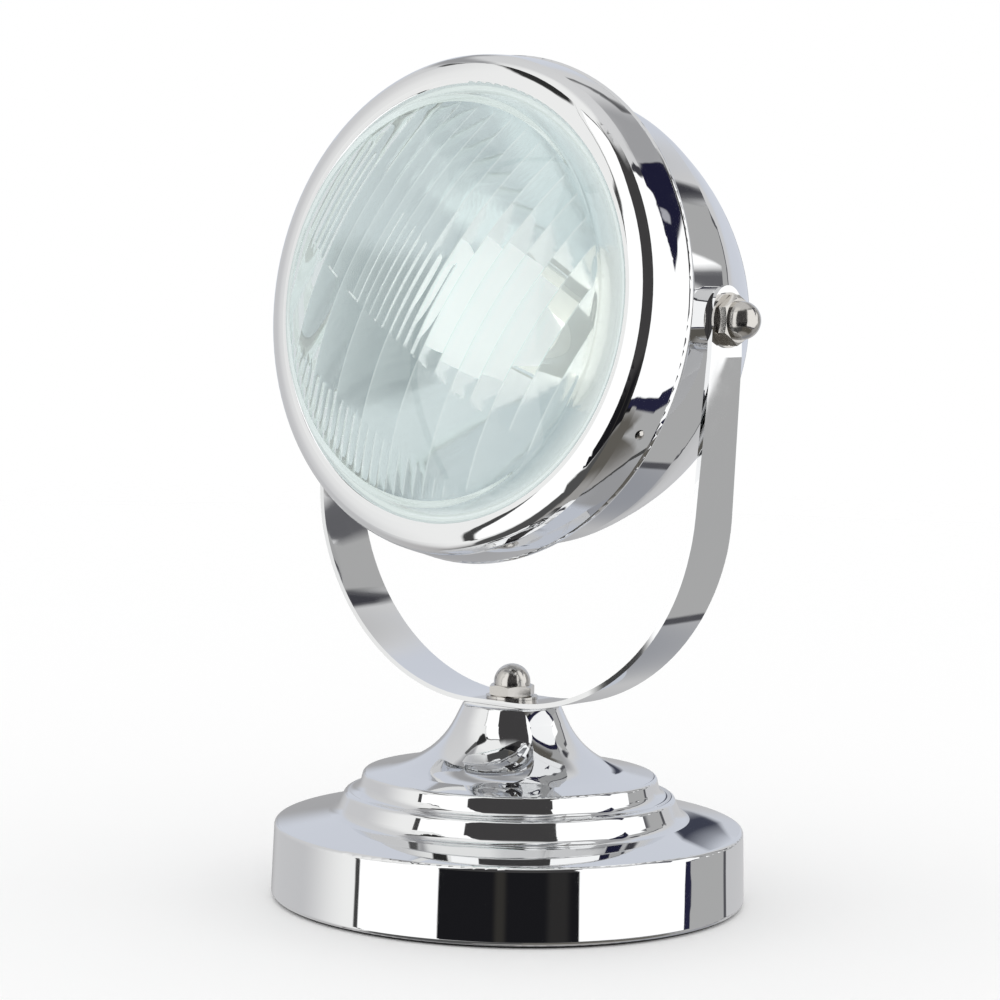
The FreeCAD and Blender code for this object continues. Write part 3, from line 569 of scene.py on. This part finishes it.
def panel(name, through, radius, colour, soft, outline):
    """A panel that only reflections show, or only what glass lets through."""
    start, end = outline[0][0], outline[-1][0]
    across, up = soft if isinstance(soft, tuple) else (soft, soft)
    low_line = [(azimuth, low) for azimuth, low, high in outline]
    high_line = [(azimuth, high) for azimuth, low, high in outline]
    height = max(high for _, high in high_line) - min(low for _, low in low_line)
    step = min(PANEL_STEP, across, up)
    count = math.ceil((end - start) / step)
    rows = math.ceil(height / step)
    mesh = bmesh.new()
    edge = mesh.verts.layers.float.new("edge")
    grid = []
    for index in range(count + 1):
        azimuth = start + (end - start) * index / count
        low, high = along(low_line, azimuth), along(high_line, azimuth)
        column = []
        for row in range(rows + 1):
            elevation = low + (high - low) * row / rows
            vert = mesh.verts.new(STUDIO_CENTRE + direction(azimuth, elevation) * radius)
            aside = min(azimuth - start, end - azimuth) / across
            above = min(elevation - low, high - elevation) / up
            vert[edge] = smooth(min(aside, above))
            column.append(vert)
        grid.append(column)
    for left, right in zip(grid, grid[1:]):
        for row in range(rows):
            mesh.faces.new((left[row], right[row], right[row + 1], left[row + 1]))
    data = bpy.data.meshes.new(name)
    mesh.to_mesh(data)
    mesh.free()
    data.materials.append(glow(name, colour))
    item = scene_object(name, data)
    item.visible_camera = False
    item.visible_diffuse = False
    item.visible_shadow = False
    item.visible_glossy = not through
    item.visible_transmission = through


def add_floor():
    mesh = bmesh.new()
    bmesh.ops.create_circle(mesh, cap_ends=True, radius=FLOOR_RADIUS, segments=FLOOR_SEGMENTS)
    data = bpy.data.meshes.new("floor")
    mesh.to_mesh(data)
    mesh.free()
    shader = Shader("floor")
    nodes, links = shader.nodes, shader.links
    nodes.remove(shader.surface)
    diffuse = nodes.new("ShaderNodeBsdfDiffuse")
    diffuse.inputs["Color"].default_value = (*FLOOR_COLOUR, 1)
    clear = nodes.new("ShaderNodeBsdfTransparent")
    reach = nodes.new("ShaderNodeVectorMath")
    reach.operation = "LENGTH"
    links.new(shader.place, reach.inputs[0])
    fade = shader.spread(reach.outputs["Value"], 0.0, 1.0, FLOOR_FADE_START, FLOOR_FADE_END)
    mix = nodes.new("ShaderNodeMixShader")
    links.new(fade, mix.inputs["Fac"])
    links.new(diffuse.outputs["BSDF"], mix.inputs[1])
    links.new(clear.outputs["BSDF"], mix.inputs[2])
    links.new(mix.outputs["Shader"], shader.output.inputs["Surface"])
    data.materials.append(shader.material)
    floor = scene_object("floor", data)
    floor.visible_glossy = False
    floor.visible_transmission = False


def add_world():
    """White for the camera, one soft level for plain surfaces, and the studio's tones for metal and glass."""
    world = bpy.data.worlds.new("studio")
    bpy.context.scene.world = world
    world.use_nodes = True
    nodes, links = world.node_tree.nodes, world.node_tree.links
    place = nodes.new("ShaderNodeTexCoord")
    height = nodes.new("ShaderNodeSeparateXYZ")
    links.new(place.outputs["Generated"], height.inputs["Vector"])
    share = nodes.new("ShaderNodeMapRange")
    share.inputs["From Min"].default_value = -1.0
    links.new(height.outputs["Z"], share.inputs["Value"])

    def ramp(levels):
        node = nodes.new("ShaderNodeValToRGB")
        points = node.color_ramp.elements
        while len(points) < len(levels):
            points.new(0.5)
        for point, (level, colour) in zip(points, levels):
            point.position = (level + 1) / 2
            point.color = (*colour, 1)
        links.new(share.outputs["Result"], node.inputs["Fac"])
        return node.outputs["Color"]

    def shown(before, colour, rays):
        """The colour for one kind of ray, and what was there before for the others."""
        node = nodes.new("ShaderNodeMix")
        node.data_type = "RGBA"
        for socket, value in (("A", before), ("B", colour)):
            if isinstance(value, tuple):
                node.inputs[socket].default_value = (*value, 1)
            else:
                links.new(value, node.inputs[socket])
        links.new(ray.outputs[rays], node.inputs["Factor"])
        return node.outputs["Result"]

    ray = nodes.new("ShaderNodeLightPath")
    seen = shown(SKY_COLOUR, ramp(ROOM_RAMP), "Is Glossy Ray")
    seen = shown(seen, ramp(THROUGH_GLASS), "Is Transmission Ray")
    seen = shown(seen, WHITE, "Is Camera Ray")
    links.new(seen, nodes["Background"].inputs["Color"])


def add_camera():
    data = bpy.data.cameras.new("camera")
    data.lens = CAMERA_LENS
    data.sensor_width = CAMERA_SENSOR
    camera = scene_object("camera", data)
    place = Vector((math.sin(CAMERA_AZIMUTH), -math.cos(CAMERA_AZIMUTH), 0)) * CAMERA_DISTANCE
    place.z = CAMERA_HEIGHT
    turn = Matrix.Rotation(CAMERA_AZIMUTH + CAMERA_YAW, 4, "Z")
    look = Matrix.Rotation(math.pi / 2 - CAMERA_PITCH, 4, "X")
    roll = Matrix.Rotation(-CAMERA_ROLL, 4, "Z")
    camera.matrix_world = Matrix.Translation(place) @ turn @ look @ roll
    bpy.context.scene.camera = camera


# ---- Scene ---------------------------------------------------------------------------------------------
def build():
    materials = finishes()
    dress_nodes(materials)
    fluted_lens(materials["fluted_glass"])
    for through, panels in ((False, PANELS), (True, PANELS_THROUGH_GLASS)):
        for name, values in panels.items():
            panel(name, through, *values)
    add_floor()
    add_world()
    add_camera()
    bpy.context.scene.view_settings.view_transform = "Standard"
    for kind, count in BOUNCES.items():
        setattr(bpy.context.scene.cycles, kind, count)


build()
